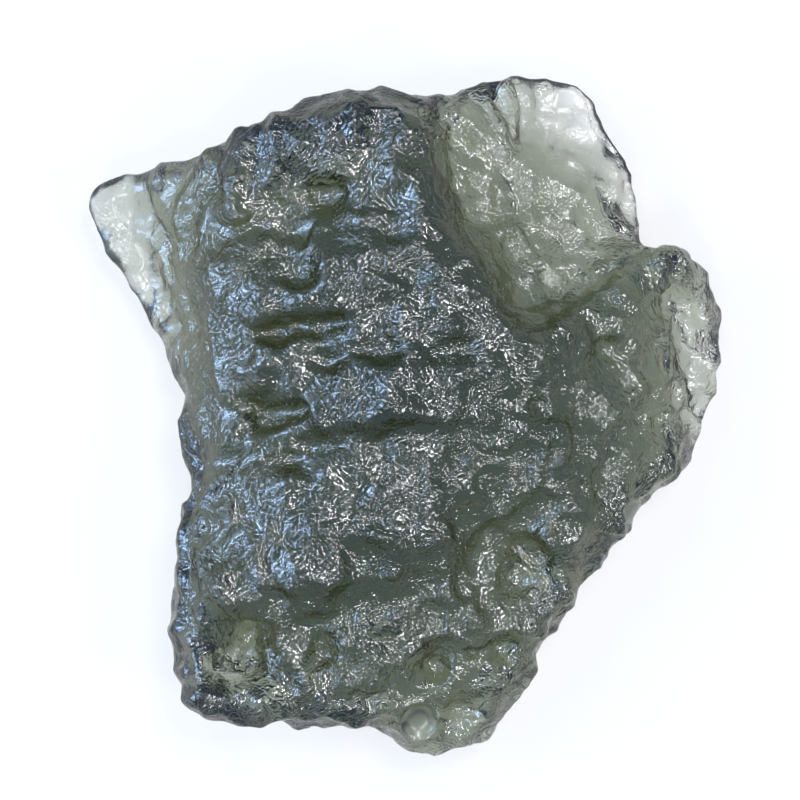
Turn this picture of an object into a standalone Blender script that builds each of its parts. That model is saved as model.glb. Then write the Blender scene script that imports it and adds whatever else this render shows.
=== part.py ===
# A raw moldavite: one piece of green natural glass, etched and scooped all over,
# with a thick dark body, a thin flange at the upper right and a thin tip at the left.
# Seen from above, +X is right and +Y is up; it stands on a small flat spot at z = 0.

import math

import bmesh
import bpy
import numpy as np
from mathutils import noise, Vector

# Driving dimensions, in millimetres unless the name says otherwise.
MM = 0.001
GRID_CUTS = 47
CUBE_FACE_HALF_ANGLE = 0.25 * math.pi
SKIRT_POWER = 1.5
SCOOP_POWER = 1.5
FACET_SIZE = 0.7
SMOOTHING = 0.4
FOOT_SNAP = 0.06
SPAN_STEPS = 12
SURFACE_SEED = 11.3

# Outline seen from above, clockwise from the left tip: x, y, height of the rim.
OUTLINE = (
    # left tip and the thin edge above it
    (-14.4, 9.3, 2.4), (-13.7, 10.3, 2.4), (-11.9, 10.8, 2.1), (-10.0, 11.3, 2.2),
    (-7.6, 11.9, 4.2),
    # thick upper edge
    (-7.0, 12.8, 5.0), (-5.0, 13.1, 5.4), (-3.6, 14.0, 5.4), (-1.8, 14.0, 5.2),
    (-0.8, 14.2, 4.4), (1.8, 14.0, 2.6),
    # thin flange
    (3.2, 14.5, 1.8), (5.4, 15.1, 2.1), (7.2, 15.2, 2.3), (8.6, 14.4, 2.3),
    (9.0, 13.0, 2.0), (10.0, 11.8, 1.9), (10.6, 9.8, 1.6), (10.6, 8.0, 1.5),
    # notch and the lobe on the right
    (11.1, 6.9, 1.7), (12.3, 7.3, 1.9), (13.4, 6.9, 2.0), (13.7, 5.6, 1.9),
    (14.4, 4.6, 1.9), (14.3, 2.6, 1.8), (13.7, -0.2, 1.7), (13.1, -2.1, 1.8),
    (12.6, -3.0, 2.0),
    # lower right wall
    (11.2, -3.2, 2.6), (10.8, -4.3, 2.8), (9.3, -6.3, 3.2), (8.4, -6.7, 3.2),
    (7.9, -7.9, 3.2), (6.8, -9.5, 2.8), (5.9, -10.8, 2.4), (5.7, -11.9, 2.1),
    # bottom lobe
    (4.5, -13.7, 2.0), (3.2, -15.1, 2.0), (1.6, -15.3, 2.0), (-0.2, -15.0, 2.0),
    (-1.1, -14.1, 2.4),
    # lower edge and the left side
    (-2.6, -14.1, 3.4), (-5.0, -13.9, 4.0), (-6.9, -13.7, 4.2), (-8.9, -13.4, 4.4),
    (-9.7, -12.3, 4.4), (-10.4, -9.6, 4.2), (-10.0, -6.9, 4.2), (-10.1, -5.6, 4.4),
    (-9.9, -4.4, 4.6), (-9.3, -3.4, 4.8), (-9.8, -1.7, 4.4), (-9.8, 0.2, 3.8),
    # notch and the thin edge below the tip
    (-9.3, 1.1, 2.6), (-10.4, 1.8, 1.5), (-10.9, 3.0, 1.3), (-12.2, 5.3, 1.5),
    (-13.1, 6.9, 1.8), (-13.9, 8.2, 2.1),
)

# Heights of the thick body at places spread over it: x, y, height.
BODY_HEIGHTS = (
    (-6.2, 10.6, 6.6), (-3.0, 11.4, 7.8), (0.2, 11.6, 7.8), (1.2, 9.4, 8.6),
    (-5.6, 6.4, 7.8), (-1.4, 7.0, 9.2), (2.4, 6.0, 8.9), (-6.6, 2.4, 7.6),
    (-1.8, 2.4, 9.6), (3.6, 2.6, 8.8), (8.2, 3.0, 7.2), (11.2, 4.8, 5.2),
    (12.8, 2.0, 4.6), (12.4, -1.8, 4.7), (8.8, -1.6, 7.0), (4.4, -2.6, 8.2),
    (-0.8, -3.0, 9.0), (-6.8, -2.6, 7.8), (-7.4, -6.6, 7.4), (-4.2, -6.8, 8.0),
    (-10.6, -2.6, 5.2), (-11.0, -6.4, 5.0), (-11.2, -9.8, 5.0), (-10.8, 0.4, 4.8),
    (-5.2, -8.4, 9.4), (-8.0, -8.4, 8.6), (-3.4, -14.4, 5.2),
    (0.6, -7.6, 7.8), (8.2, -5.0, 6.2), (6.0, -8.6, 5.8), (-1.6, -11.0, 6.8),
    (-6.4, -10.6, 7.2), (-8.6, -11.6, 6.8), (-3.6, -12.6, 7.8), (2.6, -12.0, 6.0),
    (-9.8, -13.0, 5.4), (-6.4, -14.2, 5.2),
    (1.8, -14.0, 4.8),
)
# How far each height is felt, and the small share it keeps beyond that.
HEIGHT_REACH = 2.3
FAR_WEIGHT = 1e-6

# Crest between the thick body and the flange, from the upper rim round to the notch.
FLANGE_CREST = (
    (0.2, 14.6), (0.9, 12.7), (1.4, 10.9), (1.9, 8.6), (3.1, 6.8), (4.0, 5.4),
    (4.4, 4.2), (6.9, 3.8), (8.9, 4.9), (10.6, 6.2), (11.8, 7.2),
)
# The flange is a wedge, highest at the crest and thin at its outer edge.
FLANGE_LOW = 3.5
FLANGE_HIGH = 4.6
FLANGE_REACH = 8.5
CREST_WIDTH = 0.9

# Step between the thick body and the left tip.
TIP_STEP = ((-8.2, 13.8), (-9.0, 9.4), (-9.6, 6.4), (-10.2, 3.6), (-10.6, 0.6))
TIP_MIDDLE = 4.3
STEP_WIDTH = 5.6

# The upper edge is rounded over a width that grows with the height above the rim.
EDGE_WIDTH = 0.6
EDGE_GROWTH = 0.16
RIM_DROP = 0.7
THINNEST = 1.8

# Scoops etched into the top: x, y, half length, half width, turn in degrees, depth.
TOP_SCOOPS = (
    # round bowl of the lower middle
    (4.3, -6.4, 3.1, 3.0, 0.0, 1.3),
    # long bowl of the right lobe and the round one above it
    (12.3, 1.7, 4.6, 1.7, 96.0, 1.9), (12.4, 4.4, 1.8, 1.5, 96.0, 1.1),
    # hollow at the lower left with a thin window near the rim
    (-6.5, -10.6, 3.1, 2.4, 70.0, 0.7), (-7.2, -10.8, 2.3, 1.5, 78.0, 3.0),
    # two large flat scoops of the upper body
    (-4.2, 8.4, 3.4, 2.4, 25.0, 0.7), (-1.2, 4.2, 3.6, 2.2, 10.0, 0.6),
    # troughs that cross the middle
    (-3.0, -1.6, 4.6, 0.9, 8.0, 0.8), (-5.6, 3.4, 2.4, 0.8, 4.0, 0.7),
    (-5.9, 0.1, 1.6, 0.8, 0.0, 0.8),
    # scoops of the right middle and the lower edge
    (8.6, 1.2, 2.6, 2.0, 30.0, 0.7), (1.4, -10.8, 1.9, 1.2, 20.0, 0.8),
    (4.4, -10.6, 1.6, 1.0, 50.0, 0.7), (2.0, -13.4, 1.9, 1.2, 0.0, 0.6),
    (-2.8, -9.0, 2.0, 1.5, 60.0, 0.7),
    # bowl and flutes of the flange
    (6.8, 7.6, 3.4, 2.2, 160.0, 0.6), (6.8, 12.4, 2.4, 1.8, 20.0, 0.7),
    # shallow bowls of the left tip
    (-11.6, 8.4, 2.0, 1.5, 130.0, 0.3), (-11.2, 5.6, 1.9, 1.3, 110.0, 1.0),
)

# Underside: a small flat spot, then a shallow dome with scoops of its own.
FOOT_CENTRE = (-0.3, 0.2)
FOOT_RADIUS = 4.6
UNDER_RISE = 0.011
UNDER_EDGE_WIDTH = 2.4
# The lower side is a quarter circle under a thin rim and nearly a bevel under a thick one.
BEVEL_RIM_LOW = 3.2
BEVEL_RIM_HIGH = 4.4
BEVEL_SHARE = 0.7
UNDER_SCOOPS = (
    (-6.8, 6.6, 2.6, 1.9, 40.0, 0.6), (0.6, 9.6, 3.0, 2.0, 5.0, 0.7),
    (7.0, 5.2, 2.3, 1.8, 120.0, 0.7), (9.2, -0.6, 2.2, 1.7, 80.0, 0.7),
    (5.6, -6.6, 2.5, 1.8, 140.0, 0.7), (-0.4, -9.4, 2.8, 1.8, 0.0, 0.7),
    (-6.4, -6.2, 2.2, 1.7, 50.0, 0.6), (-6.8, 0.6, 1.7, 1.4, 90.0, 0.4),
    (7.4, 11.4, 2.0, 1.6, 60.0, 0.3), (-11.2, 7.4, 1.8, 1.4, 30.0, 0.3),
)

# Low uneven swell over the whole surface.
SWELL_SIZE = 3.4
SWELL_HEIGHT = 0.42
RIPPLE_SIZE = 1.5
RIPPLE_HEIGHT = 0.2

GLASS_COLOUR = (0.20, 0.24, 0.17, 1.0)
GLASS_ROUGHNESS = 0.3
GLASS_TRANSMISSION = 0.6
GLASS_IOR = 1.49


def clearScene():
    for thing in list(bpy.data.objects):
        bpy.data.objects.remove(thing, do_unlink=True)


def smoothStep(value):
    t = min(max(value, 0.0), 1.0)
    return t * t * (3.0 - 2.0 * t)


def mix(first, second, share):
    return first + (second - first) * share


def roundedPoint(before, start, end, after, t):
    # one point of a Catmull-Rom curve between start and end
    square = t * t
    cube = square * t
    return tuple(
        0.5 * (2.0 * b + (c - a) * t + (2.0 * a - 5.0 * b + 4.0 * c - d) * square
               + (3.0 * b - a - 3.0 * c + d) * cube)
        for a, b, c, d in zip(before, start, end, after)
    )


def outlineByBearing():
    # bearing, distance from the centre and rim height, sorted by bearing
    count = len(OUTLINE)
    rows = []
    for index in range(count):
        corners = [OUTLINE[(index + shift) % count] for shift in (-1, 0, 1, 2)]
        for step in range(SPAN_STEPS):
            x, y, height = roundedPoint(*corners, step / SPAN_STEPS)
            rows.append((math.atan2(y, x), math.hypot(x, y), height))
    rows.sort()
    return np.array(rows)


def readOutline(table, bearing):
    turn = 2.0 * math.pi
    reach = np.interp(bearing, table[:, 0], table[:, 1], period=turn)
    height = np.interp(bearing, table[:, 0], table[:, 2], period=turn)
    return float(reach), float(height)


def sideOfLine(line, x, y):
    # distance to an open line of points, positive to the left of its direction
    nearest = None
    for (ax, ay), (bx, by) in zip(line, line[1:]):
        alongX, alongY = bx - ax, by - ay
        share = ((x - ax) * alongX + (y - ay) * alongY) / (alongX ** 2 + alongY ** 2)
        share = min(max(share, 0.0), 1.0)
        offX, offY = x - ax - share * alongX, y - ay - share * alongY
        distance = math.hypot(offX, offY)
        side = math.copysign(1.0, alongX * (y - ay) - alongY * (x - ax))
        if nearest is None or distance < abs(nearest):
            nearest = side * distance
    return nearest


def bodyTop(x, y):
    total, weights = 0.0, 0.0
    for px, py, height in BODY_HEIGHTS:
        gap = ((x - px) ** 2 + (y - py) ** 2) / HEIGHT_REACH ** 2
        weight = math.exp(-0.5 * gap) + FAR_WEIGHT / (1.0 + gap)
        total += weight * height
        weights += weight
    return total / weights


def flangeTop(fromCrest):
    share = 1.0 - min(max(fromCrest / FLANGE_REACH, 0.0), 1.0)
    return mix(FLANGE_LOW, FLANGE_HIGH, share ** 2)


def scoopDepth(scoops, x, y):
    depth = 0.0
    for cx, cy, halfLength, halfWidth, turn, deep in scoops:
        angle = math.radians(turn)
        along = (x - cx) * math.cos(angle) + (y - cy) * math.sin(angle)
        across = (y - cy) * math.cos(angle) - (x - cx) * math.sin(angle)
        gap = (along / halfLength) ** 2 + (across / halfWidth) ** 2
        if gap < 1.0:
            depth += deep * (1.0 - gap) ** SCOOP_POWER
    return depth


def topHeight(x, y):
    height = bodyTop(x, y)
    fromCrest = sideOfLine(FLANGE_CREST, x, y)
    ontoFlange = smoothStep(0.5 + fromCrest / CREST_WIDTH)
    height = mix(height, flangeTop(fromCrest), ontoFlange)
    ontoTip = smoothStep(0.5 - sideOfLine(TIP_STEP, x, y) / STEP_WIDTH)
    height = mix(height, TIP_MIDDLE, ontoTip)
    height -= scoopDepth(TOP_SCOOPS, x, y)
    return max(height, underHeight(x, y) + THINNEST)


def underHeight(x, y):
    fromFoot = math.hypot(x - FOOT_CENTRE[0], y - FOOT_CENTRE[1]) - FOOT_RADIUS
    if fromFoot <= 0.0:
        return 0.0
    rise = UNDER_RISE * fromFoot ** 2
    return rise + scoopDepth(UNDER_SCOOPS, x, y) * smoothStep(fromFoot)


def edgeRise(inside, width):
    # quarter circle: none at the rim, full height once inside by the width
    t = min(inside / width, 1.0)
    return math.sqrt(t * (2.0 - t))


def underEdgeRise(inside, rim):
    t = min(inside / UNDER_EDGE_WIDTH, 1.0)
    bevelled = smoothStep((rim - BEVEL_RIM_LOW) / (BEVEL_RIM_HIGH - BEVEL_RIM_LOW))
    return mix(edgeRise(inside, UNDER_EDGE_WIDTH), t, bevelled * BEVEL_SHARE)


def swell(x, y, z):
    place = Vector((x, y, z))
    shift = Vector((SURFACE_SEED, SURFACE_SEED, SURFACE_SEED))
    slow = noise.noise(place / SWELL_SIZE + shift)
    quick = noise.noise(place / RIPPLE_SIZE - shift)
    return SWELL_HEIGHT * slow + RIPPLE_HEIGHT * quick


def stonePoint(direction, table):
    # from a point of the unit ball to its place on the stone
    bearing = math.atan2(direction.y, direction.x)
    reach, rim = readOutline(table, bearing)
    edgeTop = topHeight(reach * math.cos(bearing), reach * math.sin(bearing))
    rim = min(rim, edgeTop - RIM_DROP)
    climb = abs(math.asin(min(max(direction.z, -1.0), 1.0))) / (0.5 * math.pi)
    inside = climb ** SKIRT_POWER
    x = reach * (1.0 - inside) * math.cos(bearing)
    y = reach * (1.0 - inside) * math.sin(bearing)
    if direction.z >= 0.0:
        top = topHeight(x, y)
        width = EDGE_WIDTH + EDGE_GROWTH * abs(top - rim)
        rise = edgeRise(reach * inside, width)
        z = mix(rim, top, rise)
        z += swell(x, y, z) * rise
    else:
        bottom = underHeight(x, y)
        rise = underEdgeRise(reach * inside, rim)
        z = mix(rim, bottom, rise)
        offFoot = smoothStep(math.hypot(x - FOOT_CENTRE[0], y - FOOT_CENTRE[1]) - FOOT_RADIUS)
        z += abs(swell(x, y, z)) * rise * offFoot
    return Vector((x, y, max(z, 0.0))) * MM


def evenBall():
    # cube with a fine grid, its points moved onto a ball with nearly even spacing
    mesh = bmesh.new()
    bmesh.ops.create_cube(mesh, size=2.0)
    bmesh.ops.subdivide_edges(mesh, edges=mesh.edges[:], cuts=GRID_CUTS, use_grid_fill=True)
    for vertex in mesh.verts:
        spread = Vector(math.tan(CUBE_FACE_HALF_ANGLE * value) for value in vertex.co)
        vertex.co = spread.normalized()
    return mesh


def glassMaterial():
    material = bpy.data.materials.new("moldaviteGlass")
    material.use_nodes = True
    shader = material.node_tree.nodes["Principled BSDF"]
    shader.inputs["Base Color"].default_value = GLASS_COLOUR
    shader.inputs["Metallic"].default_value = 0.0
    shader.inputs["Roughness"].default_value = GLASS_ROUGHNESS
    shader.inputs["Transmission Weight"].default_value = GLASS_TRANSMISSION
    shader.inputs["IOR"].default_value = GLASS_IOR
    return material


def evenFacets(stone):
    # facets of one size all over, the foot pressed flat again, the plan centred
    remesh = stone.modifiers.new("evenFacets", "REMESH")
    remesh.mode = "VOXEL"
    remesh.voxel_size = FACET_SIZE * MM
    soften = stone.modifiers.new("soften", "SMOOTH")
    soften.factor = SMOOTHING
    soften.iterations = 1
    evaluated = stone.evaluated_get(bpy.context.evaluated_depsgraph_get())
    mesh = bpy.data.meshes.new_from_object(evaluated)
    stone.modifiers.clear()
    shape = bmesh.new()
    shape.from_mesh(mesh)
    for vertex in shape.verts:
        if vertex.co.z < FOOT_SNAP * MM:
            vertex.co.z = 0.0
    across = [vertex.co.x for vertex in shape.verts]
    along = [vertex.co.y for vertex in shape.verts]
    middle = Vector((min(across) + max(across), min(along) + max(along), 0.0)) / 2.0
    bmesh.ops.translate(shape, verts=shape.verts[:], vec=-middle)
    bmesh.ops.triangulate(shape, faces=shape.faces[:])
    shape.to_mesh(mesh)
    shape.free()
    stone.data = mesh


def buildStone(collection):
    table = outlineByBearing()
    ball = evenBall()
    for vertex in ball.verts:
        vertex.co = stonePoint(vertex.co.copy(), table)
    bmesh.ops.recalc_face_normals(ball, faces=ball.faces[:])
    mesh = bpy.data.meshes.new("moldaviteCage")
    ball.to_mesh(mesh)
    ball.free()
    stone = bpy.data.objects.new("moldavite", mesh)
    collection.objects.link(stone)
    evenFacets(stone)
    stone.data.name = "moldavite"
    stone.data.shade_smooth()
    stone.data.materials.append(glassMaterial())
    return stone


def main():
    clearScene()
    collection = bpy.data.collections.new("moldavite")
    bpy.context.scene.collection.children.link(collection)
    buildStone(collection)


main()
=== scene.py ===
import bmesh
import bpy
import numpy as np
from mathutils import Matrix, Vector


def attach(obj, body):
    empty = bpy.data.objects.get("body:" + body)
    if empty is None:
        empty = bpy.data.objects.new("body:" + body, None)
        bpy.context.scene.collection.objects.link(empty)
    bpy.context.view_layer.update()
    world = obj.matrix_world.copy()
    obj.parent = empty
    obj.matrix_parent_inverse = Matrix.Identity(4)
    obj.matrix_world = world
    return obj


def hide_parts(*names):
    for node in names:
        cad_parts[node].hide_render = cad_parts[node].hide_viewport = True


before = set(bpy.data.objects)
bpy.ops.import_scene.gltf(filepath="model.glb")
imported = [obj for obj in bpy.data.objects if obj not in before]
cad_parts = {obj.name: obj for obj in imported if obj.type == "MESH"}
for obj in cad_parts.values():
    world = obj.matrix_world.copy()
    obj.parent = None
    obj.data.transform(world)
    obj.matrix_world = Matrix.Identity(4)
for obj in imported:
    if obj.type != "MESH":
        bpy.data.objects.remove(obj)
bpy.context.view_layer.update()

mm = 0.001  # metres in a millimetre
weldGap = 0.00001  # metres, corners closer than this are one point


# The stone: what a user would change
stoneSizes = {
    "coarseGrid": 0.3,  # mm, first even grid, smooths the facets of the solid
    "coarseRounds": 6,
    "fineGrid": 0.1,  # mm, the grid that carries the etching
    "fineRounds": 8,
    "etchedRounds": 2,  # smoothing after the etching, takes folds out
    "mostTriangles": 196000,
    "ridgeRounds": 30,  # a ridge is what stands out of the shape smoothed this much
    "ridgeHeight": 0.12,  # mm, a full ridge
    "combSize": 1.35,  # mm, long scoops that cross the thick body
    "combDepth": 0.31,
    "combStretch": 1.35,
    "scoopSize": 1.35,  # round scoops everywhere else
    "scoopDepth": 0.36,
    "pitSize": 0.7,
    "pitDepth": 0.07,
    "grainSize": 0.42,
    "grainDepth": 0.02,
    "warp": 1.0,  # mm, pulls all the relief out of line
    "warpScale": 0.45,
    "seed": 7,
}

glassLook = {
    "ior": 1.49,
    "density": 640.0,  # light taken per metre, times one less the tint
    "tint": (0.44, 0.485, 0.35),
    "hollowRoughness": 0.14,
    "ridgeRoughness": 0.22,
    "ridgeStart": 0.35,  # below this share of a ridge all is hollow
    "smoothRoughness": 0.35,  # where little is etched, the skin is dull
    "cupSize": 0.18,  # mm, small etch cups
    "cupDepth": 0.043,
    "cupWander": 0.3,  # mm, pulls the cups out of round
    "cupWanderSize": 0.42,
    "patchSize": 1.35,  # mm, patches with deep or shallow cups
    "patchFade": (0.4, 0.6),
    "leastCups": 0.6,
    "mostCups": 1.2,
}

# Places on the top, in mm from the middle of the outline: x to the right, y up.
# Troughs: points along the middle, half width, depth
troughs = [
    ([(-6.1, 3.5), (-5.0, 3.7)], 0.65, 0.55),
    ([(-3.8, 3.6), (-2.9, 3.9)], 0.6, 0.45),
    ([(-3.5, 2.3), (-2.0, 2.6), (-0.6, 2.7)], 0.6, 0.4),
    ([(-6.6, 0.0), (-5.8, 0.1), (-5.0, 0.1)], 0.8, 0.9),
    ([(-4.8, -1.9), (-2.7, -1.5), (-1.4, -1.4)], 0.7, 0.4),
    ([(-0.6, -0.9), (0.8, -1.2), (2.6, -0.8)], 0.6, 0.35),
    ([(1.1, 2.7), (2.7, 2.8)], 0.6, 0.35),
    ([(-5.4, -8.2), (-3.9, -9.4), (-3.7, -10.6)], 0.8, 0.5),
    ([(-9.7, -10.6), (-9.8, -6.9), (-9.5, -4.4), (-9.3, -1.7)], 0.8, 0.35),
    ([(-12.2, 8.4), (-11.6, 6.4), (-10.6, 3.8)], 1.5, 0.9),
    ([(6.4, 13.2), (8.0, 12.4), (9.2, 9.8)], 1.7, 0.5),
    ([(12.9, 3.6), (13.0, 1.4), (12.4, -1.2)], 1.2, 0.45),
]
# Crests: points along the top, half width, height
crests = [
    ([(-7.2, 12.4), (-7.3, 10.5), (-7.5, 8.8)], 0.45, 0.45),
    ([(0.3, 14.1), (0.9, 12.7), (1.3, 11.3), (1.9, 8.6),
      (2.4, 7.5), (3.2, 6.8), (3.8, 5.9), (4.2, 5.0)], 0.45, 0.35),
    ([(6.9, 3.9), (8.8, 5.0), (10.6, 6.2), (11.3, 6.8)], 0.5, 0.3),
    ([(3.6, 14.2), (4.2, 12.9)], 0.22, 0.22),
    ([(4.5, 14.4), (5.0, 12.6)], 0.22, 0.22),
    ([(5.4, 14.6), (5.7, 13.2)], 0.22, 0.2),
    ([(1.1, -5.2), (1.5, -7.1), (2.2, -8.4), (3.4, -9.5), (6.0, -9.8)], 0.5, 0.3),
    ([(6.7, -0.8), (6.8, -2.1), (7.0, -3.3), (7.6, -4.2)], 0.3, 0.3),
    ([(6.4, -5.3), (6.8, -6.6), (7.0, -8.0)], 0.3, 0.3),
    ([(-9.0, -12.4), (-7.6, -12.8), (-6.4, -12.9)], 0.8, 0.9),
    ([(-6.4, 4.2), (-6.2, 2.2), (-6.4, 1.0)], 0.5, 0.35),
]
# Thin edges, pressed flat towards their rim: points x, y, height of the rim
thinEdges = [
    [(3.2, 14.5, 1.9), (5.4, 15.1, 2.1), (7.2, 15.2, 2.3), (8.6, 14.4, 2.3),
     (9.0, 13.0, 2.0), (10.0, 11.8, 1.9), (10.6, 9.8, 1.6), (10.5, 8.2, 1.5)],
    [(13.6, 6.3, 1.9), (14.4, 4.6, 1.9), (14.3, 2.6, 1.8), (13.7, -0.2, 1.7), (13.1, -2.1, 1.7)],
    [(-11.9, 10.8, 2.1), (-13.7, 10.3, 2.4), (-14.4, 9.3, 2.4), (-13.1, 6.9, 1.8),
     (-12.2, 5.3, 1.5), (-11.0, 3.2, 1.3)],
]
edgeReach = 1.9  # mm
edgePress = 0.5 / 3.0  # share of the way to the rim's height, for each stretch of an edge
# Round scoops: x, y, radius, depth
scoops = [
    (-0.7, -12.2, 0.85, 0.4), (1.3, -11.3, 1.05, 0.4), (3.1, -10.7, 0.7, 0.35),
    (4.4, -10.6, 0.8, 0.4), (2.6, -13.4, 1.2, 0.7), (12.4, 5.0, 1.25, 0.6),
    (8.4, -5.6, 1.2, 0.6), (-1.8, -12.6, 0.9, 0.4), (-7.6, -11.8, 1.0, 0.3),
    (-6.8, -9.9, 1.2, 0.45), (-8.0, -11.2, 1.0, 0.4), (9.2, 2.6, 1.1, 0.4),
    (10.0, -0.6, 1.2, 0.45), (8.4, -3.2, 1.0, 0.35), (5.6, 0.4, 1.2, 0.3),
    (-3.4, 9.4, 1.4, 0.4), (-0.6, 8.0, 1.3, 0.35), (-4.8, 6.2, 1.2, 0.4),
    (0.6, 5.4, 1.1, 0.35),
]
# Burst bubbles, round and open with a thin lip: x, y, radius, depth
burstBubbles = [
    (0.6, -13.7, 0.8, 0.35), (10.1, -4.4, 0.5, 0.2), (9.0, -5.7, 0.3, 0.15),
]
scoopPower = 1.5  # a higher power makes a scoop's edge softer
bubbleLip = {"height": 0.3, "place": 1.1, "width": 0.15}  # shares of its depth and radius
# The left tip and the outer flange are smoother than the thick body
etchArea = {
    "least": 0.4,
    "flange": (8.0, 12.5),  # smooth round this point
    "flangeRadius": 1.5,
    "flangeFade": 3.5,
    "tipEdge": -12.6,  # smooth to the left of this
    "tipFade": 3.2,
    "insideBubble": 0.6,  # clear glass within this share of the radius
}
# Long scoops run across the left and the middle of the thick body
combArea = {
    "middle": (-3.2, 2.4),
    "halfSizes": (6.8, 7.6),
    "full": 0.75,
    "fade": 0.5,
}


def smoothStep(values):
    t = np.clip(values, 0.0, 1.0)
    return t * t * (3.0 - 2.0 * t)


def distanceToLine(points, x, y):
    nearest = np.full(x.shape, np.inf)
    for (ax, ay), (bx, by) in zip(points, points[1:]):
        dx, dy = bx - ax, by - ay
        share = np.clip(((x - ax) * dx + (y - ay) * dy) / (dx * dx + dy * dy), 0.0, 1.0)
        nearest = np.minimum(nearest, np.hypot(x - ax - share * dx, y - ay - share * dy))
    return nearest


def plainMesh(piece, name):
    # the evaluated shape as a mesh of its own, with the modifiers gone
    bpy.context.view_layer.update()
    evaluated = piece.evaluated_get(bpy.context.evaluated_depsgraph_get())
    mesh = bpy.data.meshes.new_from_object(evaluated)
    mesh.name = name
    piece.modifiers.clear()
    piece.data = mesh


def mergedCopy(node, name):
    mesh = node.data.copy()
    mesh.materials.clear()
    shape = bmesh.new()
    shape.from_mesh(mesh)
    bmesh.ops.remove_doubles(shape, verts=shape.verts[:], dist=weldGap)
    shape.to_mesh(mesh)
    shape.free()
    piece = bpy.data.objects.new(name, mesh)
    bpy.context.scene.collection.objects.link(piece)
    return piece


def addSmoothing(piece, rounds):
    smooth = piece.modifiers.new("soften", "SMOOTH")
    smooth.factor = 0.5
    smooth.iterations = rounds


def evenGrid(piece, size, rounds):
    remesh = piece.modifiers.new("evenGrid", "REMESH")
    remesh.mode = "VOXEL"
    remesh.voxel_size = size * mm
    addSmoothing(piece, rounds)
    plainMesh(piece, "stoneGrid")


def soften(piece, rounds):
    addSmoothing(piece, rounds)
    plainMesh(piece, piece.data.name)


def readPoints(mesh):
    count = len(mesh.vertices)
    places = np.zeros(count * 3)
    facing = np.zeros(count * 3)
    mesh.vertices.foreach_get("co", places)
    mesh.vertex_normals.foreach_get("vector", facing)
    return places.reshape(-1, 3) / mm, facing.reshape(-1, 3)


def writePoints(mesh, places):
    mesh.vertices.foreach_set("co", (places * mm).ravel())
    mesh.update()


def carveTop(piece):
    lip = bubbleLip
    places, facing = readPoints(piece.data)
    x, y = places[:, 0], places[:, 1]
    top = smoothStep(facing[:, 2] * 2.0)  # in full where a face looks 30 degrees or more upwards
    move = np.zeros(len(places))
    for points, halfWidth, depth in troughs:
        gap = distanceToLine(points, x, y) / halfWidth
        move -= depth * np.exp(-gap * gap)
    for points, halfWidth, height in crests:
        gap = distanceToLine(points, x, y) / halfWidth
        move += height * np.exp(-gap * gap)
    for cx, cy, radius, depth in scoops:
        gap = np.hypot(x - cx, y - cy) / radius
        move -= depth * np.clip(1.0 - gap * gap, 0.0, 1.0) ** scoopPower
    for cx, cy, radius, depth in burstBubbles:
        gap = np.hypot(x - cx, y - cy) / radius
        move -= depth * np.clip(1.0 - gap ** 4, 0.0, 1.0)
        move += lip["height"] * depth * np.exp(-((gap - lip["place"]) / lip["width"]) ** 2)
    places += facing * (move * top)[:, None]
    writePoints(piece.data, places)


def pressEdges(piece):
    places, _ = readPoints(piece.data)
    x, y = places[:, 0], places[:, 1]
    for points in thinEdges:
        for (ax, ay, az), (bx, by, bz) in zip(points, points[1:]):
            dx, dy = bx - ax, by - ay
            share = np.clip(((x - ax) * dx + (y - ay) * dy) / (dx * dx + dy * dy), 0.0, 1.0)
            gap = np.hypot(x - ax - share * dx, y - ay - share * dy) / edgeReach
            step = edgePress * np.exp(-gap * gap)
            places[:, 2] += (az + share * (bz - az) - places[:, 2]) * step
    writePoints(piece.data, places)


def addNode(tree, kind, **values):
    node = tree.nodes.new(kind)
    for name, value in values.items():
        setattr(node, name, value)
    return node


def feed(tree, socket, value):
    if isinstance(value, (int, float, tuple)):
        socket.default_value = value
    else:
        tree.links.new(value, socket)


def addMath(tree, operation, first, second):
    node = addNode(tree, "ShaderNodeMath", operation=operation)
    feed(tree, node.inputs[0], first)
    feed(tree, node.inputs[1], second)
    return node.outputs[0]


def addVector(tree, operation, first, second):
    node = addNode(tree, "ShaderNodeVectorMath", operation=operation)
    feed(tree, node.inputs[0], first)
    feed(tree, node.inputs[1], second)
    return node.outputs[0]


def scaledVector(tree, vector, factor):
    node = addNode(tree, "ShaderNodeVectorMath", operation="SCALE")
    feed(tree, node.inputs[0], vector)
    feed(tree, node.inputs["Scale"], factor)
    return node.outputs[0]


def spreadValue(tree, value, fromRange, toRange):
    node = addNode(tree, "ShaderNodeMapRange")
    node.inputs["From Min"].default_value, node.inputs["From Max"].default_value = fromRange
    node.inputs["To Min"].default_value, node.inputs["To Max"].default_value = toRange
    feed(tree, node.inputs["Value"], value)
    return node.outputs["Result"]


noiseMiddle = (0.5, 0.5, 0.5)
lipSoftness = {"comb": 0.25, "scoop": 0.25, "pit": 0.1, "grain": 0.05}
cupMiddle = 0.25  # middle of the squared distance, so cups sink and lips rise
cupHeight = 2.0  # height from a cup's floor to its lip, in shares of its depth
scoopFade = 0.6  # scoops fade out later than pits where the etching stops


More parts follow.
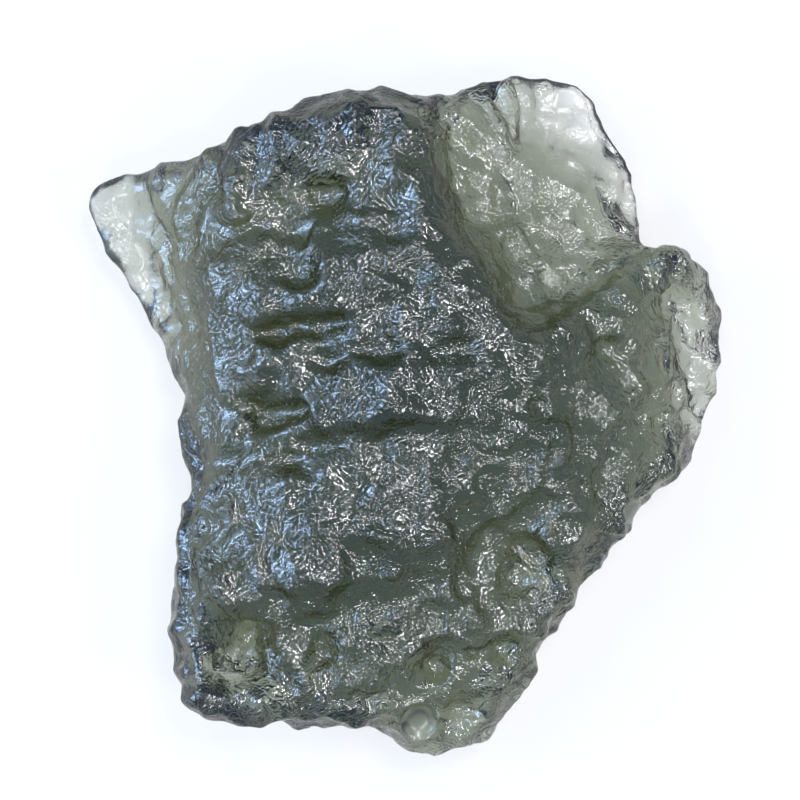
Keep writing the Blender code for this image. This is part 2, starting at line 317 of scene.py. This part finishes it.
def etchTree():
    # relief in four layers: long scoops, round scoops, pits and a fine grain
    tree = bpy.data.node_groups.new("etchedRelief", "GeometryNodeTree")
    face = tree.interface
    face.new_socket("Geometry", in_out="INPUT", socket_type="NodeSocketGeometry")
    face.new_socket("Glass", in_out="INPUT", socket_type="NodeSocketMaterial")
    names = ("Comb Size", "Comb Depth", "Comb Stretch", "Scoop Size", "Scoop Depth",
             "Pit Size", "Pit Depth", "Grain Size", "Grain Depth", "Warp", "Warp Scale")
    for name in names:
        face.new_socket(name, in_out="INPUT", socket_type="NodeSocketFloat")
    face.new_socket("Seed", in_out="INPUT", socket_type="NodeSocketInt")
    face.new_socket("Geometry", in_out="OUTPUT", socket_type="NodeSocketGeometry")
    start = addNode(tree, "NodeGroupInput").outputs
    end = addNode(tree, "NodeGroupOutput").inputs

    place = addNode(tree, "GeometryNodeInputPosition").outputs[0]
    place = scaledVector(tree, place, 1.0 / mm)  # in mm from here on

    def mask(name):
        reader = addNode(tree, "GeometryNodeInputNamedAttribute", data_type="FLOAT")
        reader.inputs["Name"].default_value = name
        return reader.outputs["Attribute"]

    etch = mask("etch")
    combed = mask("combed")
    rounded = addMath(tree, "SUBTRACT", 1.0, combed)
    rounded = addMath(tree, "MULTIPLY", rounded, addMath(tree, "POWER", etch, scoopFade))

    wander = addNode(tree, "ShaderNodeTexNoise", noise_dimensions="4D")
    wander.inputs["Detail"].default_value = 2.0
    tree.links.new(start["Warp Scale"], wander.inputs["Scale"])
    tree.links.new(place, wander.inputs["Vector"])
    tree.links.new(start["Seed"], wander.inputs["W"])
    shift = addVector(tree, "SUBTRACT", wander.outputs["Color"], noiseMiddle)
    shift = scaledVector(tree, shift, start["Warp"])
    place = addVector(tree, "ADD", place, shift)

    def cups(size, stretch, softness):
        # distance from the nearest cup's middle, in shares of the cup size
        scale = addMath(tree, "DIVIDE", 1.0, size)
        point = scaledVector(tree, place, scale)
        if stretch is not None:
            across = addMath(tree, "DIVIDE", 1.0, stretch)
            squeeze = addNode(tree, "ShaderNodeCombineXYZ")
            tree.links.new(across, squeeze.inputs["X"])
            squeeze.inputs["Y"].default_value = 1.0
            squeeze.inputs["Z"].default_value = 1.0
            point = addVector(tree, "MULTIPLY", point, squeeze.outputs[0])
        cells = addNode(tree, "ShaderNodeTexVoronoi", voronoi_dimensions="4D",
                        feature="SMOOTH_F1")
        cells.inputs["Scale"].default_value = 1.0
        cells.inputs["Smoothness"].default_value = softness
        tree.links.new(point, cells.inputs["Vector"])
        tree.links.new(start["Seed"], cells.inputs["W"])
        square = addMath(tree, "POWER", cells.outputs["Distance"], 2.0)
        return addMath(tree, "SUBTRACT", square, cupMiddle)

    geometry = start["Geometry"]
    soft = lipSoftness
    layers = (
        (start["Comb Size"], start["Comb Depth"], start["Comb Stretch"], soft["comb"], combed),
        (start["Scoop Size"], start["Scoop Depth"], None, soft["scoop"], rounded),
        (start["Pit Size"], start["Pit Depth"], None, soft["pit"], etch),
        (start["Grain Size"], start["Grain Depth"], None, soft["grain"], etch),
    )
    for size, depth, stretch, softness, share in layers:
        height = addMath(tree, "MULTIPLY", cups(size, stretch, softness), depth)
        height = addMath(tree, "MULTIPLY", height, cupHeight * mm)
        height = addMath(tree, "MULTIPLY", height, share)
        normal = addNode(tree, "GeometryNodeInputNormal").outputs[0]
        move = addNode(tree, "GeometryNodeSetPosition")
        tree.links.new(geometry, move.inputs["Geometry"])
        tree.links.new(scaledVector(tree, normal, height), move.inputs["Offset"])
        geometry = move.outputs["Geometry"]

    realize = addNode(tree, "GeometryNodeRealizeInstances")
    coat = addNode(tree, "GeometryNodeSetMaterial")
    tree.links.new(geometry, realize.inputs["Geometry"])
    tree.links.new(realize.outputs["Geometry"], coat.inputs["Geometry"])
    tree.links.new(start["Glass"], coat.inputs["Material"])
    tree.links.new(coat.outputs["Geometry"], end["Geometry"])
    return tree


def setInputs(modifier, tree, values):
    for item in tree.interface.items_tree:
        if item.item_type == "SOCKET" and item.in_out == "INPUT" and item.name in values:
            modifier[item.identifier] = values[item.name]


def writeMask(mesh, name, values):
    attribute = mesh.attributes.new(name, "FLOAT", "POINT")
    attribute.data.foreach_set("value", values.astype(np.float32))


def etchAmount(places):
    area = etchArea
    x, y = places[:, 0], places[:, 1]
    gap = np.hypot(x - area["flange"][0], y - area["flange"][1])
    flange = smoothStep((gap - area["flangeRadius"]) / area["flangeFade"])
    tip = smoothStep((x - area["tipEdge"]) / area["tipFade"])
    amount = area["least"] + (1.0 - area["least"]) * np.minimum(flange, tip)
    for cx, cy, radius, _ in burstBubbles:
        amount *= smoothStep(np.hypot(x - cx, y - cy) / radius - area["insideBubble"])
    return amount


def combedAmount(places):
    (middleX, middleY), (halfX, halfY) = combArea["middle"], combArea["halfSizes"]
    gap = np.hypot((places[:, 0] - middleX) / halfX, (places[:, 1] - middleY) / halfY)
    return 1.0 - smoothStep((gap - combArea["full"]) / combArea["fade"])


def markRidges(piece, rounds, height):
    # how far each point stands out of the softened surface, from 0 to 1
    places, facing = readPoints(piece.data)
    addSmoothing(piece, rounds)
    bpy.context.view_layer.update()
    soft = piece.evaluated_get(bpy.context.evaluated_depsgraph_get())
    softPlaces, _ = readPoints(soft.data)
    piece.modifiers.clear()
    rise = ((places - softPlaces) * facing).sum(axis=1)
    writeMask(piece.data, "ridge", smoothStep(0.5 + 0.5 * rise / height))


def pressFoot(mesh):
    places, _ = readPoints(mesh)
    places[:, 2] = np.maximum(places[:, 2], 0.0)
    writePoints(mesh, places)


def thinOut(piece, most):
    piece.data.calc_loop_triangles()
    count = len(piece.data.loop_triangles)
    if count > most:
        thin = piece.modifiers.new("thin", "DECIMATE")
        thin.ratio = most / count
        plainMesh(piece, "moldavite")


def glassMaterial():
    look = glassLook
    material = bpy.data.materials.new("etchedOliveGlass")
    material.use_nodes = True
    tree = material.node_tree
    tree.nodes.clear()
    output = addNode(tree, "ShaderNodeOutputMaterial")
    shader = addNode(tree, "ShaderNodeBsdfPrincipled")
    shader.inputs["Base Color"].default_value = (1.0, 1.0, 1.0, 1.0)
    shader.inputs["Metallic"].default_value = 0.0
    shader.inputs["Transmission Weight"].default_value = 1.0
    shader.inputs["IOR"].default_value = look["ior"]
    tree.links.new(shader.outputs["BSDF"], output.inputs["Surface"])

    taken = addNode(tree, "ShaderNodeVolumeAbsorption")
    taken.inputs["Color"].default_value = (*look["tint"], 1.0)
    taken.inputs["Density"].default_value = look["density"]
    tree.links.new(taken.outputs["Volume"], output.inputs["Volume"])

    place = addNode(tree, "ShaderNodeTexCoord").outputs["Object"]
    place = scaledVector(tree, place, 1.0 / mm)

    # hollows are glossy, ridges are worn to a soft haze
    ridge = addNode(tree, "ShaderNodeAttribute", attribute_name="ridge").outputs["Fac"]
    worn = spreadValue(tree, ridge, (look["ridgeStart"], 1.0),
                       (look["hollowRoughness"], look["ridgeRoughness"]))
    etch = addNode(tree, "ShaderNodeAttribute", attribute_name="etch").outputs["Fac"]
    rough = addNode(tree, "ShaderNodeMix", data_type="FLOAT")
    rough.inputs["A"].default_value = look["smoothRoughness"]
    tree.links.new(etch, rough.inputs["Factor"])
    tree.links.new(worn, rough.inputs["B"])
    tree.links.new(rough.outputs["Result"], shader.inputs["Roughness"])

    def noise(size):
        node = addNode(tree, "ShaderNodeTexNoise")
        node.inputs["Scale"].default_value = 1.0 / size
        node.inputs["Detail"].default_value = 0.0
        tree.links.new(place, node.inputs["Vector"])
        return node.outputs

    # small etch cups, pulled out of round and deeper in some patches than in others
    shift = addVector(tree, "SUBTRACT", noise(look["cupWanderSize"])["Color"], noiseMiddle)
    shift = scaledVector(tree, shift, look["cupWander"])
    cells = addNode(tree, "ShaderNodeTexVoronoi", feature="F1")
    cells.inputs["Scale"].default_value = 1.0 / look["cupSize"]
    tree.links.new(addVector(tree, "ADD", place, shift), cells.inputs["Vector"])
    patch = spreadValue(tree, noise(look["patchSize"])["Fac"], look["patchFade"],
                        (look["leastCups"], look["mostCups"]))
    cups = addMath(tree, "POWER", cells.outputs["Distance"], 2.0)
    cups = addMath(tree, "MULTIPLY", cups, look["cupDepth"])
    cups = addMath(tree, "MULTIPLY", cups, patch)
    bump = addNode(tree, "ShaderNodeBump")
    bump.inputs["Strength"].default_value = 1.0
    bump.inputs["Distance"].default_value = mm
    tree.links.new(addMath(tree, "MULTIPLY", cups, etch), bump.inputs["Height"])
    tree.links.new(bump.outputs["Normal"], shader.inputs["Normal"])
    return material


def buildStone():
    sizes = stoneSizes
    stone = mergedCopy(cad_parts["moldavite"], "moldaviteStone")
    evenGrid(stone, sizes["coarseGrid"], sizes["coarseRounds"])
    evenGrid(stone, sizes["fineGrid"], sizes["fineRounds"])
    print("stone grid:", len(stone.data.vertices), "points")
    pressEdges(stone)
    carveTop(stone)
    places, _ = readPoints(stone.data)
    writeMask(stone.data, "etch", etchAmount(places))
    writeMask(stone.data, "combed", combedAmount(places))
    tree = etchTree()
    relief = stone.modifiers.new("etch", "NODES")
    relief.node_group = tree
    setInputs(relief, tree, {
        "Glass": glassMaterial(),
        "Comb Size": sizes["combSize"],
        "Comb Depth": sizes["combDepth"],
        "Comb Stretch": sizes["combStretch"],
        "Scoop Size": sizes["scoopSize"],
        "Scoop Depth": sizes["scoopDepth"],
        "Pit Size": sizes["pitSize"],
        "Pit Depth": sizes["pitDepth"],
        "Grain Size": sizes["grainSize"],
        "Grain Depth": sizes["grainDepth"],
        "Warp": sizes["warp"],
        "Warp Scale": sizes["warpScale"],
        "Seed": sizes["seed"],
    })
    plainMesh(stone, "moldavite")
    soften(stone, sizes["etchedRounds"])
    print("etched:", len(stone.data.polygons), "faces")
    thinOut(stone, sizes["mostTriangles"])
    pressFoot(stone.data)
    markRidges(stone, sizes["ridgeRounds"], sizes["ridgeHeight"])
    stone.data.shade_smooth()
    print("thinned:", len(stone.data.polygons), "faces")
    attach(stone, "root")
    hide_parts("moldavite")


floorLook = {
    "halfSide": 0.6,  # metres
    "colour": (0.09, 0.09, 0.09, 1.0),  # dim, so that the lamps leave soft shadows
    "roughness": 0.8,
    "glow": 0.7,  # the light from below, as on a light table
}


def buildFloor():
    look = floorLook
    bpy.ops.mesh.primitive_plane_add(size=2.0 * look["halfSide"], location=(0.0, 0.0, 0.0))
    floor = bpy.context.active_object
    floor.name = "whiteFloor"
    material = bpy.data.materials.new("whiteFloor")
    material.use_nodes = True
    shader = material.node_tree.nodes["Principled BSDF"]
    shader.inputs["Base Color"].default_value = look["colour"]
    shader.inputs["Roughness"].default_value = look["roughness"]
    shader.inputs["Emission Color"].default_value = (1.0, 1.0, 1.0, 1.0)
    shader.inputs["Emission Strength"].default_value = look["glow"]
    floor.data.materials.append(material)
    print("floor:", look["halfSide"] * 2.0, "m across")


lampLooks = {
    # name: place in metres, width, height, power in watts, colour
    "skyWindow": ((-0.36, 0.06, 0.26), 0.12, 0.18, 1.6, (0.45, 0.67, 1.0)),
    "lowWindow": ((-0.4, 0.0, 0.13), 0.1, 0.24, 0.9, (0.45, 0.67, 1.0)),
    "ceiling": ((0.03, 0.03, 0.5), 0.24, 0.24, 0.4, (0.75, 0.88, 1.0)),
    "skyGlow": ((-0.42, 0.02, 0.2), 0.7, 0.5, 2.9, (0.55, 0.72, 1.0)),
    "mainLamp": ((0.08, 0.1, 0.36), 0.1, 0.1, 1.35, (0.98, 0.96, 1.0)),
    "backLamp": ((-0.1, 0.22, 0.32), 0.07, 0.07, 0.35, (0.85, 0.92, 1.0)),
    "frontLamp": ((-0.04, -0.17, 0.36), 0.08, 0.08, 0.9, (0.94, 0.94, 1.0)),
    "sideLamp": ((0.26, -0.1, 0.3), 0.1, 0.1, 0.9, (1.0, 0.98, 1.0)),
}


def buildLamps():
    for name, (place, width, height, power, colour) in lampLooks.items():
        light = bpy.data.lights.new(name, "AREA")
        light.shape = "RECTANGLE"
        light.size = width
        light.size_y = height
        light.energy = power
        light.color = colour
        lamp = bpy.data.objects.new(name, light)
        lamp.location = place
        lamp.rotation_euler = (-Vector(place)).to_track_quat("-Z", "Y").to_euler()
        bpy.context.scene.collection.objects.link(lamp)
    print("lamps:", len(lampLooks))


roomLook = {
    "colour": (0.52, 0.78, 1.2, 1.0),
    "strength": 0.85,
}


def buildWorld():
    world = bpy.data.worlds.new("softRoom")
    world.use_nodes = True
    back = world.node_tree.nodes["Background"]
    back.inputs["Color"].default_value = roomLook["colour"]
    back.inputs["Strength"].default_value = roomLook["strength"]
    bpy.context.scene.world = world


cameraLook = {
    "lens": 150.0,
    "sensor": 36.0,
    "frameWidth": 36.0,  # mm across the picture at the height of the rim
    "rimHeight": 3.5,
    "middle": (-0.25, 0.56),
}


def buildCamera():
    look = cameraLook
    data = bpy.data.cameras.new("fromAbove")
    data.lens = look["lens"]
    data.sensor_width = look["sensor"]
    data.clip_start = 0.01
    camera = bpy.data.objects.new("fromAbove", data)
    x, y = look["middle"]
    z = look["rimHeight"] + look["frameWidth"] * look["lens"] / look["sensor"]
    camera.location = (x * mm, y * mm, z * mm)
    bpy.context.scene.collection.objects.link(camera)
    bpy.context.scene.camera = camera


bounces = {"all": 16, "throughGlass": 14, "mirrored": 6}


def setLight():
    scene = bpy.context.scene
    scene.view_settings.view_transform = "Standard"
    scene.cycles.max_bounces = bounces["all"]
    scene.cycles.transmission_bounces = bounces["throughGlass"]
    scene.cycles.glossy_bounces = bounces["mirrored"]


buildStone()
buildFloor()
buildLamps()
buildWorld()
buildCamera()
setLight()
